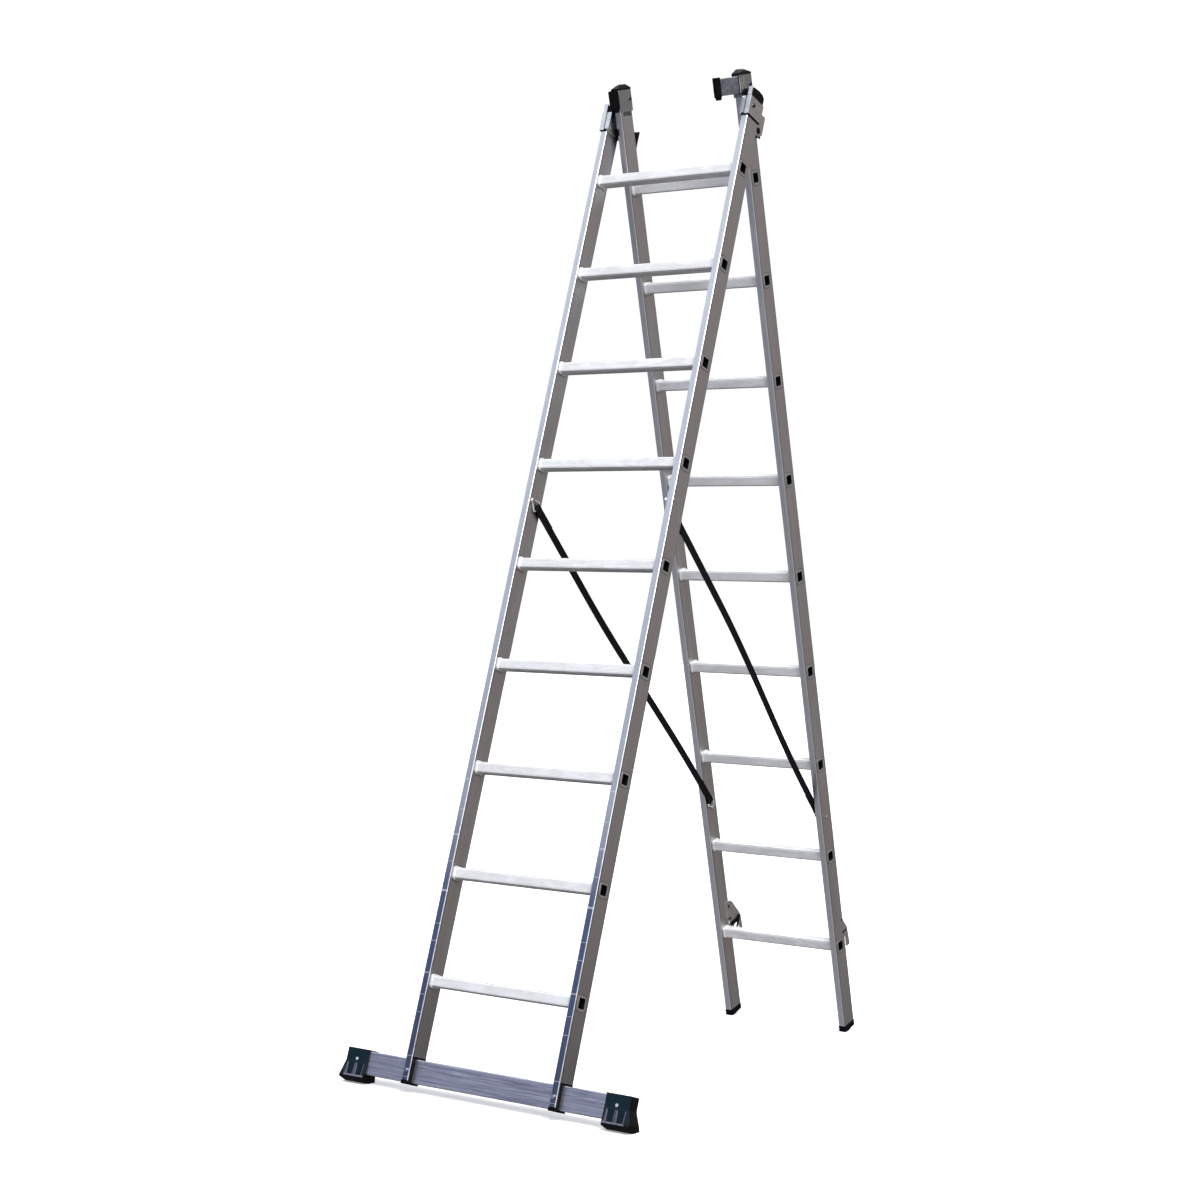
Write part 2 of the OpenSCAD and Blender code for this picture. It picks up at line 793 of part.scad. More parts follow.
on_base() both() anchor_rivet(base_ring_x, base_out, base_anchor);  // base_anchor_rivets
left() swivel_shoe();  // swivel_shoe_left
swivel_shoe();  // swivel_shoe_right
left() fly_stile();  // fly_stile_left
fly_stile();  // fly_stile_right
fly_rung(1);  // fly_rung_1
fly_rung(2);  // fly_rung_2
fly_rung(3);  // fly_rung_3
fly_rung(4);  // fly_rung_4
fly_rung(5);  // fly_rung_5
fly_rung(6);  // fly_rung_6
fly_rung(7);  // fly_rung_7
fly_rung(8);  // fly_rung_8
fly_rung(9);  // fly_rung_9
left() fly_foot();  // fly_foot_left
fly_foot();  // fly_foot_right
left() top_bracket();  // top_bracket_left
top_bracket();  // top_bracket_right
both() arm_cap();  // arm_caps
left() fly_top_cap();  // fly_top_cap_left
fly_top_cap();  // fly_top_cap_right
top_bolts();
left() hook_plate();  // hook_plate_left
hook_plate();  // hook_plate_right
left() hook_latch();  // hook_latch_left
hook_latch();  // hook_latch_right
hook_rivets();
both() fly_strap_ring();  // fly_strap_rings
on_fly() both() anchor_rivet(fly_ring_x, fly_out, fly_anchor);  // fly_anchor_rivets
left() strap();  // strap_left
strap();  // strap_right
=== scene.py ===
import bpy, math
from mathutils import Euler, Matrix, Vector


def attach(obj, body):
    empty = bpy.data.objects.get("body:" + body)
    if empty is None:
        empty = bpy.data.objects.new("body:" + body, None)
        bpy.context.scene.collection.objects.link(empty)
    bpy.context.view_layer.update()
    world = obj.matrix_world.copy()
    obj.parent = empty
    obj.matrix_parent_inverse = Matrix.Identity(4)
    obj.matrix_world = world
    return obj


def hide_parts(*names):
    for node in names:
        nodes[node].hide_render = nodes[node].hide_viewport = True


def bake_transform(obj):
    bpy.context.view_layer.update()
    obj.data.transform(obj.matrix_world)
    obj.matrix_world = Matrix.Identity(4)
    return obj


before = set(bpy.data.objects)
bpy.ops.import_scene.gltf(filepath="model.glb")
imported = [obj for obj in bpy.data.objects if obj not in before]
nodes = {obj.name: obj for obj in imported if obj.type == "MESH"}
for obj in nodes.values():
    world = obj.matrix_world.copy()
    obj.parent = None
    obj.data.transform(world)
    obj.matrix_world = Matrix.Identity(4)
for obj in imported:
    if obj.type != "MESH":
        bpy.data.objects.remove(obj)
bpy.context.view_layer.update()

# ------------------------------------------------------------------ the ladder's own frames
# Lengths are in metres. Each section has its own frame: X across the ladder, Y behind the front
# face of its stiles, Z along them from the ground.
BASE_LEAN = math.radians(16.66)
FLY_LEAN = math.radians(15.85)
SPREAD = 1.530      # from the foot of the base section to the foot of the fly section
MID = 0.796638      # from the base section's foot to the middle of the footprint, the origin
RUNG_PITCH = 0.280
RUNG_Y = 0.027
FIRST_RUNG = {"base": 0.292, "fly": 0.264}
STILE_X = {"base": 0.228, "fly": 0.196}     # the middle of a stile
RIM_X = {"base": 0.2379, "fly": 0.2059}     # just inside the rungs' swaged rims
BASE_TURN = Matrix.Rotation(-BASE_LEAN, 3, "X")
FLY_TURN = Matrix.Rotation(FLY_LEAN, 3, "X")


def base_point(x, y, z):
    return BASE_TURN @ Vector((x, y, z)) + Vector((0, -MID, 0))


def fly_point(x, y, z):
    return FLY_TURN @ Vector((x, y, z)) + Vector((0, SPREAD - MID, 0))


# ------------------------------------------------------------------ camera
CAMERA_AT = (3.34608, -4.37934 - MID, 1.23832)
CAMERA_TURN = (90.1631, -1.6636, 34.5245)   # degrees

cam = bpy.data.objects.new("camera", bpy.data.cameras.new("camera"))
bpy.context.scene.collection.objects.link(cam)
turn = Euler([math.radians(angle) for angle in CAMERA_TURN])
cam.matrix_world = Matrix.Translation(CAMERA_AT) @ turn.to_matrix().to_4x4()
cam.data.lens = 67.375
cam.data.sensor_width = 36
cam.data.clip_start = 0.05
cam.data.clip_end = 200
bpy.context.scene.camera = cam


# ------------------------------------------------------------------ node helpers
class Graph:
    """A small builder for one node tree."""

    def __init__(self, tree):
        self.tree = tree

    def node(self, kind, **props):
        n = self.tree.nodes.new("ShaderNode" + kind)
        for k, v in props.items():
            setattr(n, k, v)
        return n

    def put(self, socket, value):
        if isinstance(value, bpy.types.NodeSocket):
            self.tree.links.new(value, socket)
        else:
            socket.default_value = value

    def math(self, op, *values):
        n = self.node("Math", operation=op)
        for socket, value in zip(n.inputs, values):
            self.put(socket, value)
        return n.outputs[0]

    def noise(self, at, scale=1.0, detail=2.0, rough=0.5, distortion=0.0):
        n = self.node("TexNoise")
        self.put(n.inputs["Vector"], at)
        self.put(n.inputs["Scale"], scale)
        self.put(n.inputs["Detail"], detail)
        self.put(n.inputs["Roughness"], rough)
        self.put(n.inputs["Distortion"], distortion)
        return n.outputs["Fac"]

    def cells(self, at, scale):
        n = self.node("TexVoronoi")
        self.put(n.inputs["Vector"], at)
        self.put(n.inputs["Scale"], scale)
        return n

    def stretch(self, at, scale):
        n = self.node("Mapping")
        self.put(n.inputs["Vector"], at)
        n.inputs["Scale"].default_value = scale
        return n.outputs[0]

    def split(self, at):
        n = self.node("SeparateXYZ")
        self.put(n.inputs[0], at)
        return n.outputs

    def mix(self, fac, a, b):
        n = self.node("Mix", data_type="RGBA")
        self.put(n.inputs[0], fac)
        for s, v in ((n.inputs[6], a), (n.inputs[7], b)):
            self.put(s, v if isinstance(v, bpy.types.NodeSocket) else (*v, 1))
        return n.outputs[2]

    def between(self, value, lo, hi, to_lo=0.0, to_hi=1.0):
        """A smooth step from to_lo to to_hi as value goes from lo to hi."""
        n = self.node("MapRange", interpolation_type="SMOOTHSTEP")
        for name, v in (("Value", value), ("From Min", lo), ("From Max", hi),
                        ("To Min", to_lo), ("To Max", to_hi)):
            self.put(n.inputs[name], v)
        return n.outputs[0]

    def bump(self, height, strength, distance, normal=None):
        n = self.node("Bump")
        self.put(n.inputs["Height"], height)
        n.inputs["Strength"].default_value = strength
        n.inputs["Distance"].default_value = distance
        if normal is not None:
            self.put(n.inputs["Normal"], normal)
        return n.outputs[0]


def material(name, metallic, specular=0.5):
    """A new material, the builder of its node tree and its shader."""
    mat = bpy.data.materials.new(name)
    mat.use_nodes = True
    tree = mat.node_tree
    tree.nodes.clear()
    g = Graph(tree)
    bsdf = g.node("BsdfPrincipled")
    g.put(g.node("OutputMaterial").inputs[0], bsdf.outputs[0])
    bsdf.inputs["Metallic"].default_value = metallic
    bsdf.inputs["Specular IOR Level"].default_value = specular
    return mat, g, bsdf


def section_coords(g, section):
    """Coordinates in metres: X across, Y behind the front face, Z along the stiles."""
    n = g.node("Mapping")
    g.put(n.inputs["Vector"], g.node("TexCoord").outputs["Object"])
    if section == "base":
        angle, y = BASE_LEAN, MID
    else:
        angle, y = -FLY_LEAN, MID - SPREAD
    n.inputs["Rotation"].default_value = (angle, 0, 0)
    n.inputs["Location"].default_value = (0, y * math.cos(angle), y * math.sin(angle))
    return n.outputs[0]


def from_rung(g, section, y, z):
    """How far a point is from the nearest rung's centre, along the stiles and behind them."""
    start = FIRST_RUNG[section] - RUNG_PITCH / 2
    turns = g.math("FRACT", g.math("DIVIDE", g.math("SUBTRACT", z, start), RUNG_PITCH))
    along = g.math("MULTIPLY", g.math("SUBTRACT", turns, 0.5), RUNG_PITCH)
    return along, g.math("SUBTRACT", y, RUNG_Y)


def moulded_skin(g, at, grain):
    """A normal with rounded edges and a fine spark-eroded grain."""
    soft = g.node("Bevel", samples=4)
    soft.inputs["Radius"].default_value = 0.0009
    return g.bump(g.noise(at, grain, 3, 0.6), 0.30, 0.0002, soft.outputs[0])


# ------------------------------------------------------------------ materials
def stile_metal(section):
    """Satin extruded aluminium with lengthwise die lines and handling marks, painted highlights on
    the front and its corners, and painted shade round the rung ends, behind the corners and in the
    grooves.
    """
    mat, g, bsdf = material(section + "_stile_aluminium", 1.0)
    at = section_coords(g, section)
    x, y, z = g.split(at)
    lines = g.noise(g.stretch(at, (700, 700, 4)), 1, 3, 0.6)
    bands = g.noise(g.stretch(at, (90, 90, 0.9)), 1, 2)
    blotch = g.noise(g.stretch(at, (10, 10, 3.2)), 1, 4, 0.6, 0.4)
    rubs = g.noise(g.stretch(at, (160, 160, 34)), 1, 5, 0.7)
    tone = g.math("ADD", g.math("MULTIPLY", lines, 0.16), g.math("MULTIPLY", bands, 0.16))
    tone = g.math("ADD", tone, g.math("MULTIPLY", blotch, 0.30))
    warm = (0.600, 0.575, 0.565)
    cool = (0.735, 0.750, 0.795)
    colour = g.mix(g.between(tone, 0.20, 0.42), warm, cool)
    # the front face gets a painted highlight, brighter than the flanks, which keep a dull film
    front = g.between(y, 0.0006, 0.0022, 1, 0)
    film = g.between(rubs, 0.42, 0.62, 0, 1)
    colour = g.mix(g.math("MULTIPLY", film, 0.22), colour, (0.46, 0.44, 0.43))
    colour = g.mix(g.math("MULTIPLY", front, 0.45), colour, (0.66, 0.69, 0.75))
    dz, dy = from_rung(g, section, y, z)
    # painted shade: a dark rounded square round each rung end, where the rung's rim meets the stile
    far = g.math("POWER", g.math("ADD", g.math("POWER", g.math("ABSOLUTE", dz), 4.0),
                                 g.math("POWER", g.math("ABSOLUTE", dy), 4.0)), 0.25)
    ring = g.math("MULTIPLY", g.between(far, 0.0188, 0.0200),
                  g.between(far, 0.0202, 0.0232, 1, 0))
    colour = g.mix(g.math("MULTIPLY", ring, 0.62), colour, (0.16, 0.155, 0.15))
    if section == "base":
        # near the feet: a painted dark blue-grey reflection on the fronts, and the stile darker
        # towards the foot
        wear_and_painted_light = g.math("ADD", z, g.math("MULTIPLY", g.math("SUBTRACT", blotch, 0.5), 0.25))
        dark_reflection = g.math("MULTIPLY", g.between(wear_and_painted_light, 0.45, 0.80, 1, 0), front)
        colour = g.mix(g.math("MULTIPLY", dark_reflection, 0.93), colour, (0.135, 0.175, 0.330))
        darkening = g.between(wear_and_painted_light, 0.05, 0.42, 1, 0)
        colour = g.mix(g.math("MULTIPLY", darkening, 0.45), colour, (0.20, 0.23, 0.27))
        # scuffs across the front edge, denser towards the foot
        wobble = g.noise(g.stretch(at, (0.001, 0.001, 7.5)), 1, 0)
        tick = g.math("FRACT", g.math("ADD", g.math("MULTIPLY", z, 14.3),
                                      g.math("MULTIPLY", wobble, 1.9)))
        tick = g.between(g.math("ABSOLUTE", g.math("SUBTRACT", tick, 0.5)), 0.010, 0.022, 1, 0)
        low = g.between(z, 0.75, 1.05, 1, 0)
        tick = g.math("MULTIPLY", g.math("MULTIPLY", tick, low), front)
        colour = g.mix(g.math("MULTIPLY", tick, 0.85), colour, (1, 1, 1))
    # a painted highlight along the rounded corners beside the front face, and a painted shadow line
    # just behind them
    off = g.math("ABSOLUTE", g.math("SUBTRACT", g.math("ABSOLUTE", x), STILE_X[section]))
    corner_highlight = g.math("MULTIPLY", g.between(off, 0.0066, 0.0082), front)
    colour = g.mix(g.math("MULTIPLY", corner_highlight, 0.75), colour, (0.97, 0.98, 1.0))
    shade = g.math("MULTIPLY", g.between(y, 0.0012, 0.0024), g.between(y, 0.0038, 0.0052, 1, 0))
    colour = g.mix(g.math("MULTIPLY", shade, 0.60), colour, (0.10, 0.10, 0.12))
    # two shallow grooves along each flank, near the front and near the back, darkened with painted
    # shade
    edge = g.math("MINIMUM", g.math("ABSOLUTE", g.math("SUBTRACT", y, 0.0070)),
                  g.math("ABSOLUTE", g.math("SUBTRACT", y, 0.0510)))
    groove = g.between(edge, 0.0002, 0.0009, 1, 0)
    colour = g.mix(g.math("MULTIPLY", groove, 0.30), colour, (0.30, 0.29, 0.29))
    g.put(bsdf.inputs["Base Color"], colour)
    rough = g.math("ADD", g.between(tone, 0.15, 0.45, 0.40, 0.27), g.math("MULTIPLY", film, 0.08))
    g.put(bsdf.inputs["Roughness"], rough)
    height = g.math("ADD", g.math("MULTIPLY", lines, 0.5), g.math("MULTIPLY", groove, -0.8))
    g.put(bsdf.inputs["Normal"], g.bump(height, 0.35, 0.0004))
    return mat


def rung_metal(section):
    """Bright drawn tube, grooved along its tread, a little grimy in the grooves, with painted shade
    inside the tube and at the groove bottoms.
    """
    mat, g, bsdf = material(section + "_rung_aluminium", 0.30)
    at = section_coords(g, section)
    x, y, z = g.split(at)
    dz, dy = from_rung(g, section, y, z)
    fine = g.noise(g.stretch(at, (5, 900, 900)), 1, 3, 0.6)
    blotch = g.noise(g.stretch(at, (14, 40, 40)), 1, 5, 0.62, 0.6)
    darkening = g.noise(g.stretch(at, (60, 260, 260)), 1, 4, 0.7)
    colour = g.mix(g.between(blotch, 0.35, 0.65), (0.80, 0.80, 0.79), (0.93, 0.94, 0.95))
    colour = g.mix(g.math("MULTIPLY", g.between(fine, 0.40, 0.70), 0.16), colour,
                   (0.62, 0.63, 0.65))
    colour = g.mix(g.math("MULTIPLY", g.between(darkening, 0.56, 0.72), 0.30), colour,
                   (0.55, 0.53, 0.50))
    # painted shade: near black inside the tube and at the groove bottoms
    size = g.math("MAXIMUM", g.math("ABSOLUTE", dz), g.math("ABSOLUTE", dy))
    hollow_shade = g.between(size, 0.0134, 0.0138, 1, 0)
    colour = g.mix(hollow_shade, colour, (0.004, 0.004, 0.005))
    # the swaged rims outside the stiles are painted dark grey
    rim = g.between(g.math("ABSOLUTE", x), RIM_X[section], RIM_X[section] + 0.0003)
    colour = g.mix(g.math("MULTIPLY", rim, 0.85), colour, (0.17, 0.165, 0.16))
    g.put(bsdf.inputs["Base Color"], colour)
    g.put(bsdf.inputs["Roughness"], g.between(blotch, 0.3, 0.7, 0.46, 0.34))
    g.put(bsdf.inputs["Normal"], g.bump(fine, 0.25, 0.0003))
    return mat


def traverse_metal():
    """Extruded bar with long brushing lines, bruised and a little purple in the light."""
    mat, g, bsdf = material("traverse_aluminium", 1.0)
    at = section_coords(g, "base")
    z = g.split(at)[2]
    lines = g.noise(g.stretch(at, (3.0, 800, 800)), 1, 4, 0.65)
    broad = g.noise(g.stretch(at, (2.2, 60, 90)), 1, 3)
    chips = g.noise(g.stretch(at, (46, 420, 420)), 1, 5, 0.75, 0.8)
    streaks = g.noise(g.stretch(at, (9.0, 330, 330)), 1, 4, 0.72, 0.3)
    colour = g.mix(g.between(broad, 0.35, 0.65), (0.44, 0.43, 0.53), (0.66, 0.65, 0.74))
    colour = g.mix(g.math("MULTIPLY", g.between(lines, 0.44, 0.66), 0.55), colour,
                   (0.90, 0.90, 0.96))
    colour = g.mix(g.math("MULTIPLY", g.between(streaks, 0.52, 0.64), 0.60), colour,
                   (0.22, 0.22, 0.33))
    colour = g.mix(g.math("MULTIPLY", g.between(streaks, 0.46, 0.36), 0.70), colour,
                   (1.0, 1.0, 1.0))
    scuff = g.math("MULTIPLY", g.between(chips, 0.60, 0.70),
                   g.between(g.math("ABSOLUTE", g.math("SUBTRACT", z, 0.066)), 0.0, 0.012, 1, 0))
    colour = g.mix(g.math("MULTIPLY", scuff, 0.8), colour, (0.95, 0.95, 0.97))
    g.put(bsdf.inputs["Base Color"], colour)
    g.put(bsdf.inputs["Roughness"], g.between(lines, 0.35, 0.65, 0.46, 0.32))
    g.put(bsdf.inputs["Normal"], g.bump(lines, 0.4, 0.0004))
    return mat


def zinc_steel(name, tone, grain, depth, dull, arm=None):
    """Zinc-plated steel with a fine spangle and duller patches; arm tones what is further front."""
    mat, g, bsdf = material(name, 1.0)
    at = g.node("TexCoord").outputs["Object"]
    spangle = g.cells(at, grain)
    flecks = g.split(spangle.outputs["Color"])[0]
    cloud = g.noise(at, 55, 5, 0.65, 0.5)
    low = tuple(depth * c for c in tone)
    film = tuple(0.5 * c for c in tone)
    colour = g.mix(g.between(flecks, 0.1, 0.9), low, tone)
    colour = g.mix(g.math("MULTIPLY", g.between(cloud, 0.42, 0.62), dull), colour, film)
    if arm is not None:
        ahead_of = g.split(section_coords(g, "fly"))[1]
        colour = g.mix(g.between(ahead_of, -0.0046, -0.0030, 0.85, 0), colour, arm)
    g.put(bsdf.inputs["Base Color"], colour)
    g.put(bsdf.inputs["Roughness"], g.between(cloud, 0.35, 0.65, 0.24, 0.42))
    g.put(bsdf.inputs["Normal"], g.bump(flecks, 0.10, 0.0003))
    return mat


def moulded(name, colour, rough, grain=900.0, dust=0.30, gleam=0.10):
    """Moulded black plastic with a fine spark-eroded grain and a little dust."""
    mat, g, bsdf = material(name, 0.0, gleam)
    at = g.node("TexCoord").outputs["Object"]
    patch = g.noise(at, 38, 5, 0.65, 0.4)
    pale = tuple(min(1, 2.0 * c + 0.004) for c in colour)
    base = g.mix(g.math("MULTIPLY", g.between(patch, 0.50, 0.72), dust), colour, pale)
    g.put(bsdf.inputs["Base Color"], base)
    g.put(bsdf.inputs["Roughness"], g.between(patch, 0.35, 0.7, rough, rough + 0.16))
    g.put(bsdf.inputs["Normal"], moulded_skin(g, at, grain))
    return mat


def ribbed_foot():
    """Black rubbery foot: a painted teal sheen on its recessed front, a painted highlight along the
    worn ribs.
    """
    mat, g, bsdf = material("foot_plastic", 0.0, 0.22)
    at = section_coords(g, "base")
    x, y, z = g.split(at)
    x = g.math("ABSOLUTE", x)
    patch = g.noise(at, 70, 5, 0.7, 0.5)
    # a painted teal sheen on the recessed front panel
    panel = g.math("MULTIPLY", g.between(y, 0.0136, 0.0142, 1, 0), g.between(z, 0.028, 0.031))
    colour = g.mix(g.math("MULTIPLY", panel, 0.9), (0.0016, 0.0025, 0.0035),
                   (0.003, 0.014, 0.023))
    # four rib edges between the sill and the shoulder, and the sill itself
    rib = None
    for edge in (0.3770, 0.4000, 0.4060, 0.4290):
        d = g.math("ABSOLUTE", g.math("SUBTRACT", x, edge))
        rib = d if rib is None else g.math("MINIMUM", rib, d)
    rib = g.math("MULTIPLY", g.between(rib, 0.0010, 0.0020, 1, 0), g.between(z, 0.0275, 0.0285))
    rib = g.math("MULTIPLY", rib, g.between(z, 0.0570, 0.0585, 1, 0))
    sill = g.math("MULTIPLY", g.between(z, 0.0236, 0.0244), g.between(z, 0.0278, 0.0286, 1, 0))
    sill = g.math("MULTIPLY", sill, g.math("MULTIPLY", g.between(x, 0.3690, 0.3700),
                                           g.between(x, 0.4320, 0.4335, 1, 0)))
    # painted highlight: pale lines along the worn rib edges and the sill
    wear_and_painted_light = g.math("MULTIPLY", g.math("MAXIMUM", rib, sill), g.between(y, 0.0150, 0.0155, 1, 0))
    wear_and_painted_light = g.math("MULTIPLY", wear_and_painted_light, g.between(patch, 0.25, 0.55, 0.35, 1.0))
    colour = g.mix(wear_and_painted_light, colour, (0.155, 0.145, 0.200))
    g.put(bsdf.inputs["Base Color"], colour)
    g.put(bsdf.inputs["Roughness"], g.between(patch, 0.35, 0.7, 0.34, 0.52))
    g.put(bsdf.inputs["Normal"], moulded_skin(g, at, 900))
    return mat


def bright_wire():
    """Bright drawn wire, dulled in patches."""
    mat, g, bsdf = material("ring_steel", 0.55)
    at = g.node("TexCoord").outputs["Object"]
    wear = g.noise(at, 160, 4, 0.65)
    g.put(bsdf.inputs["Base Color"],
          g.mix(g.between(wear, 0.40, 0.66), (0.96, 0.96, 0.95), (0.66, 0.65, 0.62)))
    g.put(bsdf.inputs["Roughness"], g.between(wear, 0.35, 0.7, 0.16, 0.36))
    g.put(bsdf.inputs["Normal"], g.bump(wear, 0.10, 0.0002))
    return mat


def webbing():
    """Woven strap: herringbone ribs along its length, and worn patches."""
    mat, g, bsdf = material("webbing", 0.0, 0.10)
    uv = g.node("TexCoord").outputs["UV"]
    u, v, _ = g.split(uv)
    side = g.math("FRACT", g.math("MULTIPLY", u, 160.0))
    side = g.math("ABSOLUTE", g.math("SUBTRACT", side, 0.5))
    pick = g.math("ABSOLUTE", g.math("SUBTRACT", g.math("FRACT", g.math(
        "ADD", g.math("MULTIPLY", v, 520.0), g.math("MULTIPLY", side, 1.6))), 0.5))
    weave = g.math("MULTIPLY", side, pick)
    fuzz = g.noise(g.stretch(uv, (1500, 1500, 1)), 1, 3, 0.6)
    wear_and_painted_light = g.noise(g.stretch(uv, (60, 9, 1)), 1, 4, 0.6)
    colour = g.mix(g.between(weave, 0.02, 0.22), (0.003, 0.003, 0.004), (0.012, 0.012, 0.015))
    colour = g.mix(g.math("MULTIPLY", g.between(wear_and_painted_light, 0.50, 0.70), 0.35), colour,
                   (0.020, 0.020, 0.024))
    g.put(bsdf.inputs["Base Color"], colour)
    g.put(bsdf.inputs["Roughness"], g.between(fuzz, 0.3, 0.7, 0.72, 0.88))
    height = g.math("ADD", g.math("MULTIPLY", weave, 2.0), g.math("MULTIPLY", fuzz, 0.3))
    g.put(bsdf.inputs["Normal"], g.bump(height, 0.6, 0.0008))
    return mat


MATERIALS = {
    "base_stile": stile_metal("base"),
    "fly_stile": stile_metal("fly"),
    "base_rung": rung_metal("base"),
    "fly_rung": rung_metal("fly"),
    "traverse": traverse_metal(),
    "zinc": zinc_steel("zinc_steel", (0.88, 0.88, 0.885), 420.0, 0.72, 0.30),
    "arm": zinc_steel("bracket_steel", (0.60, 0.64, 0.66), 520.0, 0.62, 0.30,
                      (0.235, 0.255, 0.325)),
    "bolt": zinc_steel("bolt_steel", (0.78, 0.78, 0.80), 700.0, 0.6, 0.35),
    "dark_bolt": zinc_steel("blackened_bolt_steel", (0.10, 0.135, 0.165), 900.0, 0.6, 0.2),
    "black": moulded("black_plastic", (0.0012, 0.0020, 0.0028), 0.36),
    "gloss": moulded("cap_plastic", (0.0015, 0.002, 0.0025), 0.14, 500.0, 0.2, 0.16),
    "wire": bright_wire(),
    "foot": ribbed_foot(),
    "webbing": webbing(),
    "thread": moulded("strap_thread", (0.020, 0.020, 0.024), 0.60, 2500.0, 0.3),
}


# A CAD node takes the material of the first row whose word is in its name
MATERIAL_WORDS = (
    ("traverse_foot", "foot"), ("foot_rivets", "wire"), ("stile_plug", "black"),
    ("foot_", "black"), ("base_stile", "base_stile"), ("fly_stile", "fly_stile"),
    ("base_rung", "base_rung"), ("fly_rung", "fly_rung"), ("traverse_bolts", "bolt"),
    ("traverse", "traverse"), ("fly_top_cap", "gloss"), ("strap_ring", "wire"),
    ("strap_", "webbing"), ("top_bracket", "arm"), ("bracket", "zinc"), ("plate", "zinc"),
    ("guide_bolts", "dark_bolt"), ("top_bolts", "dark_bolt"), ("hook_rivets", "dark_bolt"),
    ("rivets", "bolt"), ("", "black"))

for name, obj in nodes.items():
    chosen = next(material_name for word, material_name in MATERIAL_WORDS if word in name)
    obj.data.materials.clear()
    obj.data.materials.append(MATERIALS[chosen])


# ------------------------------------------------------------------ safety straps
STRAP_W, STRAP_T = 0.025, 0.002
STRAP_SPLIT = 0.58                  # where the base's part of a strap meets the fly's part
BASE_STEPS, FLY_STEPS = 110, 50     # rows of points from a ring to the split
BASE_RING_X, FLY_RING_X = 0.2128, 0.1808
BASE_ANCHOR, FLY_ANCHOR = (0.009, 1.585), (0.033, 0.662)
INWARD_FROM, INWARD_OVER = 0.30, 0.62   # the share of its length where a strap shifts inward
RING_REACH = 0.027                  # from a rivet to the far wire of its ring
WIRE_R = 0.0024
LOOP_R, LOOP_EASE = 0.0034, 0.020   # the loop's bend round the wire, and where it has closed
TAIL, TAIL_STEP = 0.085, 0.004      # the sewn tail
TAIL_DROP = 0.0022                  # from the strap's middle to its tail's
TAIL_FLARE, TAIL_EASE = 0.0012, 0.016   # how much wider it stands at the wire, and how far
BOX_START, BOX_END, BOX_HALF = 0.016, 0.070, 0.0088     # the box stitching
STITCH_PITCH, STITCH_R, STITCH_LIFT = 0.0036, 0.00032, 0.0001
# a ribbon's edge, as steps in from it and shares of half the thickness, and its middle's share
RIBBON_EDGE = ((0.0, 0.0), (0.0006, 0.80), (0.0022, 1.0), (0.0030, 0.82))
RIBBON_MIDDLE = 0.86


def new_object(name, verts, faces, mat, uvs=None):
    """A smooth-shaded mesh object in the scene."""
    mesh = bpy.data.meshes.new(name)
    mesh.from_pydata([tuple(v) for v in verts], [], faces)
    mesh.materials.append(mat)
    if uvs is not None:
        layer = mesh.uv_layers.new(name="UVMap")
        for loop in mesh.loops:
            layer.data[loop.index].uv = uvs[loop.vertex_index]
    for poly in mesh.polygons:
        poly.use_smooth = True
    obj = bpy.data.objects.new(name, mesh)
    bpy.context.scene.collection.objects.link(obj)
    return obj


def ribbon(name, path, across, width, thick, mat):
    """A flat band along path: rounded edges, a slightly raised selvage on both sides."""
    half = width / 2
    top = [(step - half, h) for step, h in RIBBON_EDGE] + [(0.0, RIBBON_MIDDLE)]
    top += [(half - step, h) for step, h in RIBBON_EDGE[::-1]]
    section = [(a, h * thick / 2) for a, h in top + [(-a, -h) for a, h in top[1:-1]]]
    n = len(section)
    verts, uvs, faces = [], [], []
    gone = 0.0
    for i, p in enumerate(path):
        ahead, behind = path[min(i + 1, len(path) - 1)], path[max(i - 1, 0)]
        t = (ahead - behind).normalized()
        side = (across - t * across.dot(t)).normalized()
        normal = t.cross(side).normalized()
        if i:
            gone += (p - path[i - 1]).length
        for a, b in section:
            verts.append(p + side * a + normal * b)
            uvs.append((a, gone))
    for i in range(len(path) - 1):
        for k in range(n):
            k2 = (k + 1) % n
            faces.append((i * n + k, i * n + k2, (i + 1) * n + k2, (i + 1) * n + k))
    faces.append(tuple(range(n))[::-1])
    faces.append(tuple((len(path) - 1) * n + k for k in range(n)))
    return new_object(name, verts, faces, mat, uvs)


def stitch(p, q, out):
    """A single stitch: a six-sided thread, thickest in its middle."""
    t = (q - p).normalized()
    side = t.cross(out).normalized()
    verts = [p]
    for f in (0.2, 0.8):
        c = p.lerp(q, f)
        verts += [c + (side * math.cos(a) + out * math.sin(a)) * STITCH_R
                  for a in (math.pi * k / 3 for k in range(6))]
    verts.append(q)
    faces = [(0, 1 + (k + 1) % 6, 1 + k) for k in range(6)]
    faces += [(1 + k, 1 + (k + 1) % 6, 7 + (k + 1) % 6, 7 + k) for k in range(6)]
    faces += [(13, 7 + k, 7 + (k + 1) % 6) for k in range(6)]
    return verts, faces


def tube(loop, radius, sides=10):
    """A round wire along a closed loop of points."""
    verts, faces = [], []
    n = len(loop)
    flat = (loop[n // 3] - loop[0]).cross(loop[2 * n // 3] - loop[0]).normalized()
    for i, p in enumerate(loop):
        t = (loop[(i + 1) % n] - loop[i - 1]).normalized()
        inward = flat.cross(t).normalized()
        for k in range(sides):
            a = 2 * math.pi * k / sides
            verts.append(p + (inward * math.cos(a) + flat * math.sin(a)) * radius)
    for i in range(n):
        j = (i + 1) % n
        for k in range(sides):
            k2 = (k + 1) % sides
            faces.append((i * sides + k, i * sides + k2, j * sides + k2, j * sides + k))
    return verts, faces


def merge(parts):
    """One list of points and one of faces, from several of each."""
    verts, faces = [], []
    for v, f in parts:
        k = len(verts)
        verts += v
        faces += [tuple(i + k for i in face) for face in f]
    return verts, faces


